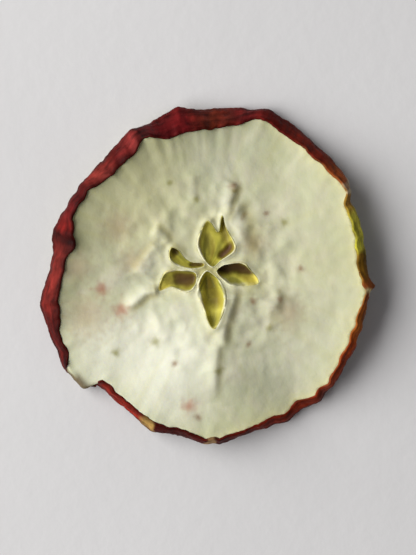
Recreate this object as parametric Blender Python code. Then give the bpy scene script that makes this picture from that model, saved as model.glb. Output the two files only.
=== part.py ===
"""Dried apple slice: a thin round of red apple, cut across the core with its peel on, and dried.

One closed body that lies on its underside, +Z up, with its origin at the bottom centre of its
box. The flesh is a warped sheet with an uneven, torn rim. The peel is the outer band of that
rim: it leans in over the flesh on one half and is tucked under it on the other. Five seed
cells open the core as a star.
"""

import math

import bmesh
import bpy
from mathutils import Vector, noise
from mathutils.geometry import delaunay_2d_cdt

NODE = "dried_apple_slice"
MM = 0.001

# Driving dimensions, in millimetres. The plan is drawn about the middle of the slice.
MEAN_RADIUS = 28.3
FLESH_THICKNESS = 2.4
RIM_THICKENING = 0.5
MIDDLE_CLEARANCE = 2.4
FLESH_RECESS = 0.4
PEEL_EDGE = 0.4
PEEL_BELLY_HEIGHT = 1.3
FLESH_INSET = 0.6
FOOT_LAND = 1.0
CELL_LIP = 0.35

# Where the rim of the underside lifts off the table: direction in degrees, height, half width.
LIFTS = (
    (2, 4.4, 60),
    (141, 4.2, 64),
    (266, 1.6, 38),
)
LIFT_POWER = 2.4
LIFT_FLATNESS = 1.6
FLAT_CONTACT = 0.15
# Where the peel's belly is higher: direction in degrees, extra height, half width.
FULL_SHOULDER = (345, 0.65, 60)

# The rim's kinks: direction in degrees, radius of the peel, width of the band of peel that
# shows from above, and how far the peel's edge stands over the flesh. The rim is nearly
# straight from one kink to the next.
RIM_KINKS = (
    (2, 27.6, 1.9, 0.2),
    (10, 27.5, 1.4, 0.3),
    (20, 27.8, 1.5, 0.3),
    (26, 27.5, 1.1, 0.3),
    (30, 28.7, 0.45, 0.1),
    (32, 29.1, 1.2, 0.3),
    (37, 29.1, 1.5, 0.4),
    (53, 29.2, 1.9, 0.4),
    (68, 30.2, 1.9, 0.5),
    (73, 29.2, 1.3, 0.5),
    (77, 28.9, 2.4, 0.7),
    (84, 28.2, 2.8, 0.8),
    (97, 28.1, 3.3, 1.0),
    (100, 28.7, 4.2, 1.0),
    (107, 27.8, 3.2, 1.0),
    (114.5, 27.6, 1.6, 0.8),
    (116, 27.4, 1.7, 0.2),
    (118, 27.7, 2.7, 0.9),
    (126, 27.0, 2.8, 1.0),
    (134, 26.3, 2.3, 1.0),
    (141, 26.4, 1.9, 0.9),
    (145, 26.7, 1.4, 0.7),
    (156, 27.0, 1.3, 0.7),
    (164, 27.4, 3.2, 1.1),
    (168, 27.2, 3.8, 1.1),
    (173, 26.8, 2.0, 0.9),
    (180, 27.3, 2.1, 0.8),
    (191, 29.4, 3.0, 0.8),
    (203, 29.5, 1.7, 0.5),
    (210, 29.5, 1.4, 0.4),
    (213.5, 30.2, 1.1, 0.3),
    (216.5, 30.1, 0.7, 0.1),
    (219, 30.0, 0.5, 0.1),
    (224, 29.7, 0.4, 0.0),
    (225.3, 28.3, 0.7, 0.1),
    (226.4, 27.5, 1.3, 0.2),
    (235, 27.7, 1.3, 0.2),
    (245, 28.6, 1.2, 0.2),
    (251.5, 29.9, 2.0, 0.2),
    (256, 29.0, 1.3, 0.2),
    (270, 30.1, 0.8, 0.2),
    (275, 30.4, 1.1, 0.2),
    (281, 29.5, 1.0, 0.2),
    (290, 29.3, 1.1, 0.2),
    (298, 30.2, 1.6, 0.2),
    (305, 29.6, 1.9, 0.2),
    (311, 30.5, 1.3, 0.2),
    (314, 29.9, 1.6, 0.3),
    (317.5, 29.9, 1.1, 0.2),
    (322, 29.4, 1.5, 0.2),
    (330, 29.1, 1.6, 0.2),
    (344, 28.4, 1.4, 0.2),
    (353.2, 28.2, 0.5, 0.0),
    (355.3, 29.3, 2.3, 0.3),
    (358, 28.0, 1.2, 0.2),
)
RIM_STEP = 1.4
RIM_WRINKLE = 0.15
RIM_WRINKLE_LENGTH = 2.5

# Folds: the line of the crest, its height, the width of its gentle flank and of its steep
# one, which is on the left of the line. Bends raise the whole sheet and creases its top face.
BENDS = (
    (((3.2, -2.5), (3.6, -8.0), (2.2, -15.0), (1.4, -23.0)), 1.8, 9.0, 13.0),
)
CREASES = (
    (((3.4, -2.2), (4.0, -6.5), (3.1, -10.2), (1.9, -15.2), (1.3, -21.5)), 0.5, 2.5, 1.0),
    (((4.7, 15.2), (3.4, 13.3), (2.8, 10.2)), 0.6, 2.0, 1.2),
    (((-8.4, -2.8), (-14.0, -5.9)), 0.5, 1.4, 1.2),
)

# The seed cells: corners of the mouth, how much smaller the floor is, how far it is shifted
# by the slant of the walls, and how deep it lies.
CELLS = {
    "lower": {
        "mouth": (
            (-0.3, 0.2), (-1.4, -1.6), (-1.4, -3.7), (-0.7, -6.0), (0.4, -9.0),
            (1.4, -9.2), (2.5, -6.6), (2.9, -3.8), (2.2, -1.7), (0.9, -0.3),
        ),
        "shrink": 0.5, "slant": (0.0, 0.5), "depth": 1.1,
    },
    "right": {
        "mouth": (
            (1.6, 0.1), (2.6, 1.2), (4.6, 1.6), (6.2, 1.5), (7.6, 0.1),
            (8.7, -1.2), (8.3, -2.1), (4.6, -2.2), (3.1, -1.5),
        ),
        "shrink": 0.6, "slant": (-0.3, 0.7), "depth": 1.5,
    },
    "upper": {
        "mouth": (
            (0.1, 8.9), (-1.1, 7.1), (-1.6, 4.8), (-0.7, 2.5), (0.8, 1.0), (2.2, 2.0),
            (4.4, 3.6), (4.6, 5.0), (3.2, 7.7), (2.5, 9.8), (1.9, 7.0),
        ),
        "shrink": 0.6, "slant": (0.3, -0.6), "depth": 1.0,
    },
    "left": {
        "mouth": (
            (-7.1, 0.1), (-5.0, 0.4), (-2.3, 0.1), (-1.9, -1.2), (-2.6, -2.8),
            (-4.0, -3.3), (-6.3, -2.5), (-8.3, -3.1), (-8.0, -1.4),
        ),
        "shrink": 0.6, "slant": (0.5, 0.2), "depth": 1.0,
    },
    "upper_left": {
        "mouth": (
            (-6.3, 4.3), (-5.0, 3.9), (-3.9, 2.5), (-2.6, 1.8), (-0.7, 1.6),
            (-0.8, 1.0), (-2.8, 0.7), (-5.2, 1.3), (-6.5, 2.5),
        ),
        "shrink": 0.5, "slant": (-0.2, 0.2), "depth": 0.9,
    },
}

FACE_SPACING = 2.1
SPACING_KEPT_CLEAR = 0.55
ROUGHNESS_LENGTH = 5.0
ROUGHNESS_HEIGHT = 0.12

FLESH_COLOUR = (0.62, 0.58, 0.40)
PEEL_COLOUR = (0.16, 0.012, 0.010)


def clear_scene():
    for obj in list(bpy.data.objects):
        bpy.data.objects.remove(obj, do_unlink=True)


def direction(x, y):
    return math.degrees(math.atan2(y, x)) % 360


def swell(x, y, centre, height, half_width, flatness=1.0):
    """A raised cosine round one direction from the middle."""
    gap = abs((direction(x, y) - centre + 180) % 360 - 180) / half_width
    if gap >= 1:
        return 0.0
    return height * math.cos(math.pi / 2 * gap**flatness) ** 2


def rim_lift(x, y):
    """How far the underside lifts towards the rim."""
    share = math.hypot(x, y) / MEAN_RADIUS
    return share**LIFT_POWER * sum(swell(x, y, *lift, LIFT_FLATNESS) for lift in LIFTS)


def roughness(x, y, layer):
    return ROUGHNESS_HEIGHT * noise.noise(Vector((x, y, layer)) / ROUGHNESS_LENGTH)


def underside(x, y):
    share = math.hypot(x, y) / MEAN_RADIUS
    middle = MIDDLE_CLEARANCE * max(0.0, 1 - share * share) + FLESH_RECESS
    return rim_lift(x, y) + middle + fold_height(BENDS, x, y) + roughness(x, y, 0.0)


def gap_to_line(line, x, y):
    """Distance from a line, positive on its left, and how far along it the nearest point lies."""
    best, side, share = math.inf, 1.0, 0.0
    point = Vector((x, y))
    runs = len(line) - 1
    for i in range(runs):
        start, end = Vector(line[i]), Vector(line[i + 1])
        run = end - start
        along = min(1.0, max(0.0, (point - start).dot(run) / run.length_squared))
        off = point - (start + along * run)
        if off.length < best:
            best = off.length
            side = math.copysign(1.0, run.cross(off))
            share = (i + along) / runs
    return side * best, share


def fold_height(folds, x, y):
    total = 0.0
    for line, height, gentle, steep in folds:
        gap, share = gap_to_line(line, x, y)
        width = steep if gap > 0 else gentle
        fade = min(1.0, 6 * share, 4 * (1 - share))
        total += height * fade * math.exp(-((gap / width) ** 2))
    return total


def top_face(x, y):
    share = math.hypot(x, y) / MEAN_RADIUS
    thickness = FLESH_THICKNESS + RIM_THICKENING * share**4
    return underside(x, y) + thickness + fold_height(CREASES, x, y) + roughness(x, y, 50.0)


def lip_face(x, y):
    return top_face(x, y) + CELL_LIP


def foot_face(x, y):
    """The peel's lower edge: flat on the table wherever it would come close to it."""
    return max(0.0, rim_lift(x, y) - FLAT_CONTACT)


def rim_stations():
    """Kinks joined by straight stretches, softened once: plan point, band width, stand."""
    corners = []
    for angle, radius, band, stand in RIM_KINKS:
        turn = math.radians(angle)
        corners.append((radius * math.cos(turn), radius * math.sin(turn), band, stand))
    stations = []
    for i, corner in enumerate(corners):
        after = corners[(i + 1) % len(corners)]
        length = math.hypot(after[0] - corner[0], after[1] - corner[1])
        steps = max(1, round(length / RIM_STEP))
        for k in range(steps):
            t = k / steps
            stations.append([a + t * (b - a) for a, b in zip(corner, after)])
    return [soften(stations, i) for i in range(len(stations))]


def soften(stations, i):
    before, here, after = stations[i - 1], stations[i], stations[(i + 1) % len(stations)]
    x, y, band, stand = ((a + 6 * b + c) / 8 for a, b, c in zip(before, here, after))
    wrinkle = noise.noise(Vector((x, y, 9.0)) / RIM_WRINKLE_LENGTH)
    scale = 1 + RIM_WRINKLE * wrinkle / math.hypot(x, y)
    return x * scale, y * scale, band, stand


def moved_in(station, distance):
    x, y = station[:2]
    scale = 1 - distance / math.hypot(x, y)
    return x * scale, y * scale


def foot_tuck(station):
    """The narrower the band that shows from above, the further the peel is tucked under."""
    return max(0.3, 1.3 - 0.3 * station[2])


def mouth_loop(corners):
    """A closed Catmull-Rom curve through the corners, with one point between each two."""
    loop = []
    count = len(corners)
    for i in range(count):
        a, b, c, d = (Vector(corners[(i + k) % count]) for k in (-1, 0, 1, 2))
        loop.append(tuple(b))
        loop.append(tuple((9 * (b + c) - a - d) / 16))
    return loop


def shrunk_loop(loop, shrink, slant):
    middle = sum((Vector(p) for p in loop), Vector((0.0, 0.0))) / len(loop)
    return [tuple(middle + shrink * (Vector(p) - middle) + Vector(slant)) for p in loop]


def inside(point, loop):
    x, y = point
    odd = False
    for i, (x1, y1) in enumerate(loop):
        x0, y0 = loop[i - 1]
        if (y0 > y) != (y1 > y) and x < x0 + (y - y0) / (y1 - y0) * (x1 - x0):
            odd = not odd
    return odd


def grid_points(outer, holes):
    """Evenly spaced points in the plan, clear of its edges."""
    edges = [Vector(p) for loop in (outer, *holes) for p in loop]
    clear = SPACING_KEPT_CLEAR * FACE_SPACING
    row_gap = FACE_SPACING * math.sqrt(3) / 2
    rows = math.ceil(1.2 * MEAN_RADIUS / row_gap)
    columns = math.ceil(1.2 * MEAN_RADIUS / FACE_SPACING)
    points = []
    for row in range(-rows, rows + 1):
        for column in range(-columns, columns + 1):
            point = Vector(((column + row % 2 / 2) * FACE_SPACING, row * row_gap))
            if not inside(point, outer) or any(inside(point, hole) for hole in holes):
                continue
            if min((point - edge).length for edge in edges) > clear:
                points.append(tuple(point))
    return points


def loop_of_vertices(bm, loop, height):
    return [bm.verts.new((x, y, height(x, y))) for x, y in loop]


def fill_face(bm, outer, holes, height, inner_points):
    """Fills the plan between loops of vertices with triangles that follow a height."""
    loops = [outer, *holes]
    vertices = [v for loop in loops for v in loop]
    edges = []
    start = 0
    for loop in loops:
        count = len(loop)
        edges += [(start + i, start + (i + 1) % count) for i in range(count)]
        start += count
    vertices += loop_of_vertices(bm, inner_points, height)
    plan = [v.co.xy.copy() for v in vertices]
    hole_plans = [[tuple(v.co.xy) for v in hole] for hole in holes]
    outer_plan = [tuple(v.co.xy) for v in outer]
    triangles = delaunay_2d_cdt(plan, edges, [], 0, 1e-7)[2]
    for triangle in triangles:
        centre = sum((plan[i] for i in triangle), Vector((0.0, 0.0))) / 3
        if inside(centre, outer_plan) and not any(inside(centre, h) for h in hole_plans):
            bm.faces.new([vertices[i] for i in triangle])


def bridge(bm, ring, other, material=0):
    for i in range(len(ring)):
        face = bm.faces.new((ring[i - 1], other[i - 1], other[i], ring[i]))
        face.material_index = material


def add_rim(bm, stations, top_edge, bottom_edge):
    """The peel: from the flesh's upper edge over the crest, down the belly and under the foot."""
    crest_in, crest_out, belly, foot_out, foot_in = [], [], [], [], []
    for station in stations:
        band, stand = station[2:]
        inner = moved_in(station, band)
        crest = top_face(*inner) + stand
        crest_in.append(bm.verts.new((*inner, crest - PEEL_EDGE / 4)))
        crest_out.append(bm.verts.new((*moved_in(station, band - PEEL_EDGE), crest)))
        outer = station[:2]
        belly_height = foot_face(*outer) + PEEL_BELLY_HEIGHT + swell(*outer, *FULL_SHOULDER)
        belly.append(bm.verts.new((*outer, belly_height)))
        tuck = foot_tuck(station)
        sole = foot_face(*outer)
        foot_out.append(bm.verts.new((*moved_in(station, tuck), sole)))
        foot_in.append(bm.verts.new((*moved_in(station, tuck + FOOT_LAND), sole)))
    rings = (top_edge, crest_in, crest_out, belly, foot_out, foot_in, bottom_edge)
    for upper, lower in zip(rings, rings[1:]):
        bridge(bm, upper, lower, material=1)


def add_cell(bm, cell, mouth):
    """The walls of one seed cell and its floor."""
    def floor_face(x, y):
        return top_face(x, y) - cell["depth"]

    plan = [tuple(v.co.xy) for v in mouth]
    floor_plan = shrunk_loop(plan, cell["shrink"], cell["slant"])
    floor = loop_of_vertices(bm, floor_plan, floor_face)
    bridge(bm, mouth, floor)
    fill_face(bm, floor, [], floor_face, [])


def slice_mesh():
    bm = bmesh.new()
    stations = rim_stations()
    top_plan = [moved_in(s, s[2] + FLESH_INSET) for s in stations]
    bottom_plan = [moved_in(s, foot_tuck(s) + FOOT_LAND + FLESH_INSET) for s in stations]
    mouth_plans = [mouth_loop(cell["mouth"]) for cell in CELLS.values()]
    top_edge = loop_of_vertices(bm, top_plan, top_face)
    bottom_edge = loop_of_vertices(bm, bottom_plan, underside)
    mouths = [loop_of_vertices(bm, plan, lip_face) for plan in mouth_plans]
    fill_face(bm, top_edge, mouths, top_face, grid_points(top_plan, mouth_plans))
    fill_face(bm, bottom_edge, [], underside, grid_points(bottom_plan, []))
    add_rim(bm, stations, top_edge, bottom_edge)
    for cell, mouth in zip(CELLS.values(), mouths):
        add_cell(bm, cell, mouth)
    bmesh.ops.recalc_face_normals(bm, faces=bm.faces)
    stand_on_origin(bm)
    mesh = bpy.data.meshes.new(NODE)
    bm.to_mesh(mesh)
    bm.free()
    return mesh


def stand_on_origin(bm):
    """Moves the bottom centre of the box to the origin and turns millimetres to metres."""
    lowest = Vector(min(v.co[axis] for v in bm.verts) for axis in range(3))
    highest = Vector(max(v.co[axis] for v in bm.verts) for axis in range(3))
    middle = (lowest + highest) / 2
    for vertex in bm.verts:
        vertex.co = (vertex.co - Vector((middle.x, middle.y, lowest.z))) * MM


def principled(name, colour, roughness_value):
    material = bpy.data.materials.new(name)
    material.use_nodes = True
    shader = material.node_tree.nodes["Principled BSDF"]
    shader.inputs["Base Color"].default_value = (*colour, 1.0)
    shader.inputs["Roughness"].default_value = roughness_value
    shader.inputs["Metallic"].default_value = 0.0
    return material


def build():
    clear_scene()
    mesh = slice_mesh()
    mesh.materials.append(principled("dried apple flesh", FLESH_COLOUR, 0.85))
    mesh.materials.append(principled("dried apple peel", PEEL_COLOUR, 0.45))
    mesh.shade_smooth()
    mesh.set_sharp_from_angle(angle=math.radians(40))
    bpy.context.scene.collection.objects.link(bpy.data.objects.new(NODE, mesh))


build()
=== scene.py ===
"""Looks of one dried apple slice: papery flesh, wrinkled red peel and a parchment-lined core."""

import math

import bpy
import numpy as np
from mathutils import Matrix, Vector, noise
from mathutils.geometry import delaunay_2d_cdt


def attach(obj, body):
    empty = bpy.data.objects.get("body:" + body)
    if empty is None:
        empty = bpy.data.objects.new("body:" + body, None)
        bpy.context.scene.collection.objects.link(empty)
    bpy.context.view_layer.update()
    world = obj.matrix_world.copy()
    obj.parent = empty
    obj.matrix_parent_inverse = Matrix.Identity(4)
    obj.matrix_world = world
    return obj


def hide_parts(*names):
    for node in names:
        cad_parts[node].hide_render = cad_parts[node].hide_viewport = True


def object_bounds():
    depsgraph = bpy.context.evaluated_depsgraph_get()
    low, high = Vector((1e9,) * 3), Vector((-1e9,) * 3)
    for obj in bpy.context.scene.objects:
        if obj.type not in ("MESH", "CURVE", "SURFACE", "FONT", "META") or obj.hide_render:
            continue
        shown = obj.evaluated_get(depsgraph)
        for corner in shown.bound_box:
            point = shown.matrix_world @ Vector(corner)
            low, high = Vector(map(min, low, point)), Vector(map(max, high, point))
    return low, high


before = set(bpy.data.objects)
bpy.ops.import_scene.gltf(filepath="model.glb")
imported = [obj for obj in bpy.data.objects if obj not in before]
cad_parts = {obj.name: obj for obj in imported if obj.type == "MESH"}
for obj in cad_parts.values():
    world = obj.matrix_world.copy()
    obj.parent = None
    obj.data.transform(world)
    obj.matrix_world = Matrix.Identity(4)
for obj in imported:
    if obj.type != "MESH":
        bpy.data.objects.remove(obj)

NODE = "dried_apple_slice"
BODY = "root"
MM = 0.001
CAD_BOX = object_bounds()

# ---------------------------------------------------------------------------------------
# Sizes, in millimetres. The plan is drawn about the middle of the slice.
# ---------------------------------------------------------------------------------------
MEAN_RADIUS = 28.3
FLESH_THICKNESS = 2.4
# The flesh is thicker at the rim, its underside stands highest off the table in the middle,
# and it is drawn up from the foot of the peel all over.
RIM_THICKENING = 0.5
MIDDLE_CLEARANCE = 2.4
FLESH_RECESS = 0.4
# The flat land under the peel's foot, and the slope from there to the flesh's underside.
FOOT_LAND = 1.0
FOOT_SLOPE = 0.6
# Height of a lift that is pressed flat, so that the slice rests on stretches of its rim.
FLAT_CONTACT = 0.15

# Where the rim of the underside lifts off the table: direction in degrees, height, half width.
LIFTS = (
    (2, 4.4, 60),
    (141, 4.2, 64),
    (266, 1.6, 38),
)
# How fast a lift grows from the middle outwards, and how broad its top is along the rim.
LIFT_POWER = 2.4
LIFT_FLATNESS = 1.6

# The peel in section: height of its widest place and how far down that is, its upper edge over
# the flesh, and how much of the rim's stand it takes up.
PEEL_BELLY_HEIGHT = 1.3
PEEL_BELLY_SHARE = 0.55
PEEL_STEP = 0.10
PEEL_STAND = 0.45
PEEL_THICKNESS = 0.42
# Where the peel's shoulder is fuller: direction in degrees, extra height, half width.
FULL_SHOULDER = (345, 0.65, 60)
# How far the peel tucks in to its foot: most, least, and how much less for each mm of band.
TUCK_MOST, TUCK_LEAST, TUCK_SLOPE = 1.3, 0.3, 0.3

# The flesh's wall behind the peel, from the upper edge, 0, to the foot, 1: share of the way
# down, and depth behind the peel's outer face, past its deepest folds. The torn beak has none.
WALL_RINGS = ((0.1, 0.35), (0.28, 0.6), (0.46, 0.7), (0.64, 0.7), (0.82, 0.5), (1.0, 0.25))
# The wall rises to the peel's thin end at the beak: degrees of rim, and share of depth left.
WALL_RISE = 5
WALL_LEAST = 0.3

# The rim's kinks: direction in degrees, radius of the peel, width of the band of peel that
# shows from above, and how far the peel's edge stands over the flesh.
RIM_KINKS = (
    (2, 27.6, 1.9, 0.2),
    (10, 27.5, 1.4, 0.3),
    (20, 27.8, 1.5, 0.3),
    (26, 27.5, 1.1, 0.3),
    (30, 28.7, 0.45, 0.1),
    (32, 29.1, 1.2, 0.3),
    (37, 29.1, 1.5, 0.4),
    (53, 29.2, 1.9, 0.4),
    (68, 30.2, 1.9, 0.5),
    (73, 29.2, 1.3, 0.5),
    (77, 28.9, 2.4, 0.7),
    (84, 28.2, 2.8, 0.8),
    (97, 28.1, 3.3, 1.0),
    (100, 28.7, 4.2, 1.0),
    (107, 27.8, 3.2, 1.0),
    (114.5, 27.6, 1.6, 0.8),
    (116, 27.4, 1.7, 0.2),
    (118, 27.7, 2.7, 0.9),
    (126, 27.0, 2.8, 1.0),
    (134, 26.3, 2.3, 1.0),
    (141, 26.4, 1.9, 0.9),
    (145, 26.7, 1.4, 0.7),
    (156, 27.0, 1.3, 0.7),
    (164, 27.4, 3.2, 1.1),
    (168, 27.2, 3.8, 1.1),
    (173, 26.8, 2.0, 0.9),
    (180, 27.3, 2.1, 0.8),
    (191, 29.4, 3.0, 0.8),
    (203, 29.5, 1.7, 0.5),
    (210, 29.5, 1.4, 0.4),
    (213.5, 30.2, 1.1, 0.3),
    (216.5, 30.1, 0.7, 0.1),
    (219, 30.0, 0.5, 0.1),
    (224, 29.7, 0.4, 0.0),
    (225.3, 28.3, 0.7, 0.1),
    (226.4, 27.5, 1.3, 0.2),
    (235, 27.7, 1.3, 0.2),
    (245, 28.6, 1.2, 0.2),
    (251.5, 29.9, 2.0, 0.2),
    (256, 29.0, 1.3, 0.2),
    (270, 30.1, 0.8, 0.2),
    (275, 30.4, 1.1, 0.2),
    (281, 29.5, 1.0, 0.2),
    (290, 29.3, 1.1, 0.2),
    (298, 30.2, 1.6, 0.2),
    (305, 29.6, 1.9, 0.2),
    (311, 30.5, 1.3, 0.2),
    (314, 29.9, 1.6, 0.3),
    (317.5, 29.9, 1.1, 0.2),
    (322, 29.4, 1.5, 0.2),
    (330, 29.1, 1.6, 0.2),
    (344, 28.4, 1.4, 0.2),
    (353.2, 28.2, 0.5, 0.0),
    (355.3, 29.3, 2.3, 0.3),
    (358, 28.0, 1.2, 0.2),
)
RIM_STEP = 0.25
KINK_SOFTNESS = 0.28
# Ripples of the rim's radius: height, spacing and noise layer.
RIM_RIPPLES = ((0.22, 2.3, 9.0), (0.10, 0.9, 19.0))
# Unevenness of the band, in mm, and of the stand, as a share: size, spacing and noise layer.
BAND_UNEVEN = (0.35, 2.0, 29.0)
STAND_UNEVEN = (0.5, 1.6, 39.0)
BAND_LEAST = 0.3
# The peel runs anticlockwise from its start, on one side of the torn beak, to its end on the
# other. The beak's bare flesh fades in after the end and out before the start, in degrees.
PEEL_START = 225.2
PEEL_END = 216.5
BARE_FADE_IN, BARE_FADE_OUT = 3, 0.6

# Folds: the line of the crest, its height, and the widths of its flanks on the right and on the
# left of the line. Bends raise the whole sheet. Creases raise its top face, steeply on the left.
BENDS = (
    (((3.2, -2.5), (3.6, -8.0), (2.2, -15.0), (1.4, -23.0)), 1.8, 9.0, 13.0),
)
CREASES = (
    (((4.6, -2.1), (4.1, -5.0), (3.2, -7.4), (2.7, -9.5), (2.4, -11.4), (2.1, -13.6)), 0.62, 1.9, 0.9),
    (((4.2, 12.0), (5.6, 8.5), (6.1, 4.8), (6.4, 1.6)), 0.62, 2.6, 1.5),
    (((5.0, 15.4), (3.9, 13.0), (3.0, 9.0)), 0.65, 1.4, 0.85),
    (((-8.4, -2.9), (-10.6, -3.4), (-12.4, -5.0), (-14.4, -6.3)), 0.8, 1.0, 0.8),
    (((-9.4, 7.8), (-7.4, 6.3), (-6.6, 4.6)), 0.5, 1.2, 0.8),
    (((-12.3, -0.2), (-10.9, 1.8), (-9.4, 3.9), (-7.8, 5.2)), 0.5, 3.2, 0.9),
    (((11.2, -3.3), (12.3, -4.6), (10.4, -7.1), (10.4, -10.4)), 0.3, 1.6, 0.9),
    (((-2.6, 17.0), (-2.0, 12.0)), 0.15, 0.9, 0.6),
    (((1.6, -12.0), (1.2, -16.0), (1.1, -22.5)), 0.4, 1.3, 0.8),
)

# The seed cells: corners of the mouth, anticlockwise; the lines that the walls close in on;
# the greatest depth; how far the walls slant over it; how strongly painted shade, dark brown,
# darkens the floor where it is deepest; and the lines where that is, each with its half width and
# its share of the depth.
CELLS = {
    "lower": {
        "mouth": (
            (-0.3, 0.2), (-1.4, -1.6), (-1.4, -3.7), (-0.7, -6.0), (0.4, -9.0),
            (1.4, -9.2), (2.5, -6.6), (2.9, -3.8), (2.2, -1.7), (0.9, -0.3),
        ),
        "middle": (((0.3, -0.8), (0.9, -4.5), (0.9, -8.3)),),
        "depth": 1.2, "slant": (0.0, 0.3), "painted_deep_shade": 0.2,
        "pits": ((((0.4, -2.0), (0.9, -4.6)), 1.4, 1.0),),
    },
    "right": {
        "mouth": (
            (3.1, -1.5), (4.6, -2.2), (8.3, -2.1), (8.7, -1.2), (7.6, 0.1),
            (6.2, 1.5), (4.6, 1.6), (2.6, 1.2), (1.6, 0.1),
        ),
        "middle": (((2.4, 0.1), (4.8, -0.2), (7.7, -1.2)),),
        "depth": 1.5, "slant": (-0.2, 0.7), "painted_deep_shade": 0.85,
        "pits": ((((2.4, 0.6), (5.4, 0.9), (7.3, 0.2)), 1.15, 1.0),),
    },
    "upper": {
        "mouth": (
            (0.1, 8.9), (-1.1, 7.1), (-1.6, 4.8), (-0.7, 2.5), (0.8, 1.0), (2.2, 2.0),
            (4.4, 3.6), (4.6, 5.0), (3.2, 7.7), (2.5, 9.8), (1.9, 7.0),
        ),
        "middle": (((0.9, 2.2), (0.1, 4.8), (0.0, 8.0)), ((0.9, 2.2), (2.9, 4.6), (2.6, 8.8))),
        "depth": 1.1, "slant": (0.2, -0.3), "painted_deep_shade": 0.9,
        "pits": (
            (((4.5, 4.9), (2.8, 2.8)), 0.8, 1.0), (((3.4, 5.8), (2.6, 8.0)), 0.9, 0.45),
            (((0.1, 6.2), (0.9, 3.4)), 0.8, 0.3),
        ),
    },
    "left": {
        "mouth": (
            (-8.0, -1.4), (-8.3, -3.1), (-6.3, -2.5), (-4.0, -3.3), (-2.6, -2.8),
            (-1.9, -1.2), (-2.3, 0.1), (-5.0, 0.4), (-7.1, 0.1),
        ),
        "middle": (((-3.0, -1.2), (-5.2, -1.2), (-7.6, -2.2)),),
        "depth": 0.9, "slant": (0.3, 0.1), "painted_deep_shade": 0.8,
        "pits": ((((-2.9, -1.2), (-4.6, -1.2)), 1.5, 1.0), (((-4.6, -1.2), (-6.2, -1.5)), 1.2, 0.5)),
    },
    "upper_left": {
        "mouth": (
            (-6.5, 2.5), (-5.2, 1.3), (-2.8, 0.7), (-0.8, 1.0), (-0.7, 1.6),
            (-2.6, 1.8), (-3.9, 2.5), (-5.0, 3.9), (-6.3, 4.3),
        ),
        "middle": (((-1.3, 1.3), (-3.0, 1.3), (-4.6, 2.4), (-5.7, 3.5)),),
        "depth": 0.85, "slant": (0.1, 0.1), "painted_deep_shade": 0.65,
        "pits": ((((-5.8, 3.8), (-5.5, 3.6)), 0.6, 1.0), (((-2.4, 1.2), (-1.3, 1.3)), 0.7, 1.0)),
    },
}
CELL_STEP = 0.2
CELL_LIP = 0.35
# Share of a cell's depth at which its floor lies beside the deepest lines.
SHALLOW_SHARE = 0.5
# A lining's fibres: how many for each radian about the core, how far they run on outwards, as a
# share, and their height.
FIBRES = 5.0
FIBRE_RUN = 0.3
FIBRE_HEIGHT = 0.10

# Unevenness of the cut face: height, extra height in the ring round the core, spacing and
# noise layer. Valleys only go down.
FACE_WAVES = (
    ("swell", 0.16, 0.25, 3.4, 50.0),
    ("valley", 0.10, 0.45, 4.2, 55.0),
    ("swell", 0.35, 0.0, 9.0, 60.0),
    ("swell", 0.06, 0.10, 1.6, 70.0),
)
CORE_RING_RADIUS, CORE_RING_WIDTH = 11.0, 4.5
# Radial puckers near the rim: height, spacing and noise layer, and how far in they reach.
PUCKERS = (0.03, 1.25, 3.0)
PUCKER_REACH = 4.5
# The face curls up to the rim: least height, more for each mm of stand, and reach inwards.
CURL_LEAST, CURL_STAND, CURL_REACH = 0.12, 0.75, 2.6
LIP_WIDTH = 0.65

# Spacings of the mesh's points: round the core, on the rest of the face, and underneath; and how
# far they stay clear of the edges.
FINE_SPACING, FINE_CLEARANCE = 0.21, 0.14
FACE_SPACING, FACE_CLEARANCE = 0.37, 0.2
UNDER_SPACING, UNDER_CLEARANCE = 0.7, 0.35
FINE_RADIUS = 11.0
GRID_RADIUS = 1.15 * MEAN_RADIUS
SEED = 11

# Marks in the flesh: place, size, and which stain they carry.
MARKS = (
    ((4.6, 15.0), 0.8, "rust"),
    ((4.6, 14.1), 0.55, "olive"),
    ((-1.9, 12.7), 0.5, "olive"),
    ((-6.5, 15.5), 0.45, "olive"),
    ((13.3, 8.7), 0.6, "olive"),
    ((10.7, -9.6), 0.6, "olive"),
    ((1.9, -17.0), 0.6, "olive"),
    ((-9.0, -12.1), 0.8, "olive"),
    ((-15.8, -14.0), 0.7, "olive"),
    ((6.3, 9.9), 0.4, "rust"),
    ((10.2, 10.2), 0.4, "rust"),
    ((16.1, 0.6), 0.5, "rust"),
    ((7.8, -5.0), 0.6, "rust"),
    ((12.6, -4.6), 0.5, "rust"),
    ((7.1, -12.4), 0.5, "rust"),
    ((-5.7, -15.8), 0.5, "rust"),
    ((-1.6, -25.3), 0.6, "rust"),
    ((-18.3, -2.8), 1.0, "pink"),
    ((-14.9, -6.5), 1.2, "pink"),
    ((-3.1, -23.3), 1.1, "pink"),
    ((-15.5, 7.8), 2.4, "brown"),
    ((-22.6, 0.9), 2.6, "brown"),
    ((-21.0, -7.5), 3.6, "brown"),
    ((-13.0, 2.0), 2.2, "brown"),
    ((8.0, 5.0), 2.0, "brown"),
    ((14.0, -7.0), 2.4, "brown"),
)
# Broad soft patches of a tint: middle, half width, half height and strength. The pale patches,
# low on the left and on the right, are partly the flesh's own paler colour and partly painted
# light; the yellow patches, on the upper left and the right, are partly its own yellow and partly
# painted shade.
PATCHES = {
    "pale_and_painted_light": (((-12, -18), 12, 10, 1.0), ((17, -12), 10, 12, 0.25)),
    "yellowed_and_painted_shade": (((-17, 15), 14, 12, 1.0), ((19, 4), 12, 17, 0.35)),
}


# ---------------------------------------------------------------------------------------
# Heights
# ---------------------------------------------------------------------------------------
def polar(points):
    return np.degrees(np.arctan2(points[:, 1], points[:, 0])) % 360, np.hypot(*points.T)


def bell(distance, width):
    return np.exp(-((distance / width) ** 2))


def hump(angle, centre, height, half_width, flatness=1):
    """A rise of the rim about one direction, in degrees, falling to nought at its half width."""
    gap = np.abs((angle - centre + 180) % 360 - 180) / half_width
    return np.where(gap < 1, height * np.cos(np.pi / 2 * gap**flatness) ** 2, 0)


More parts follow.
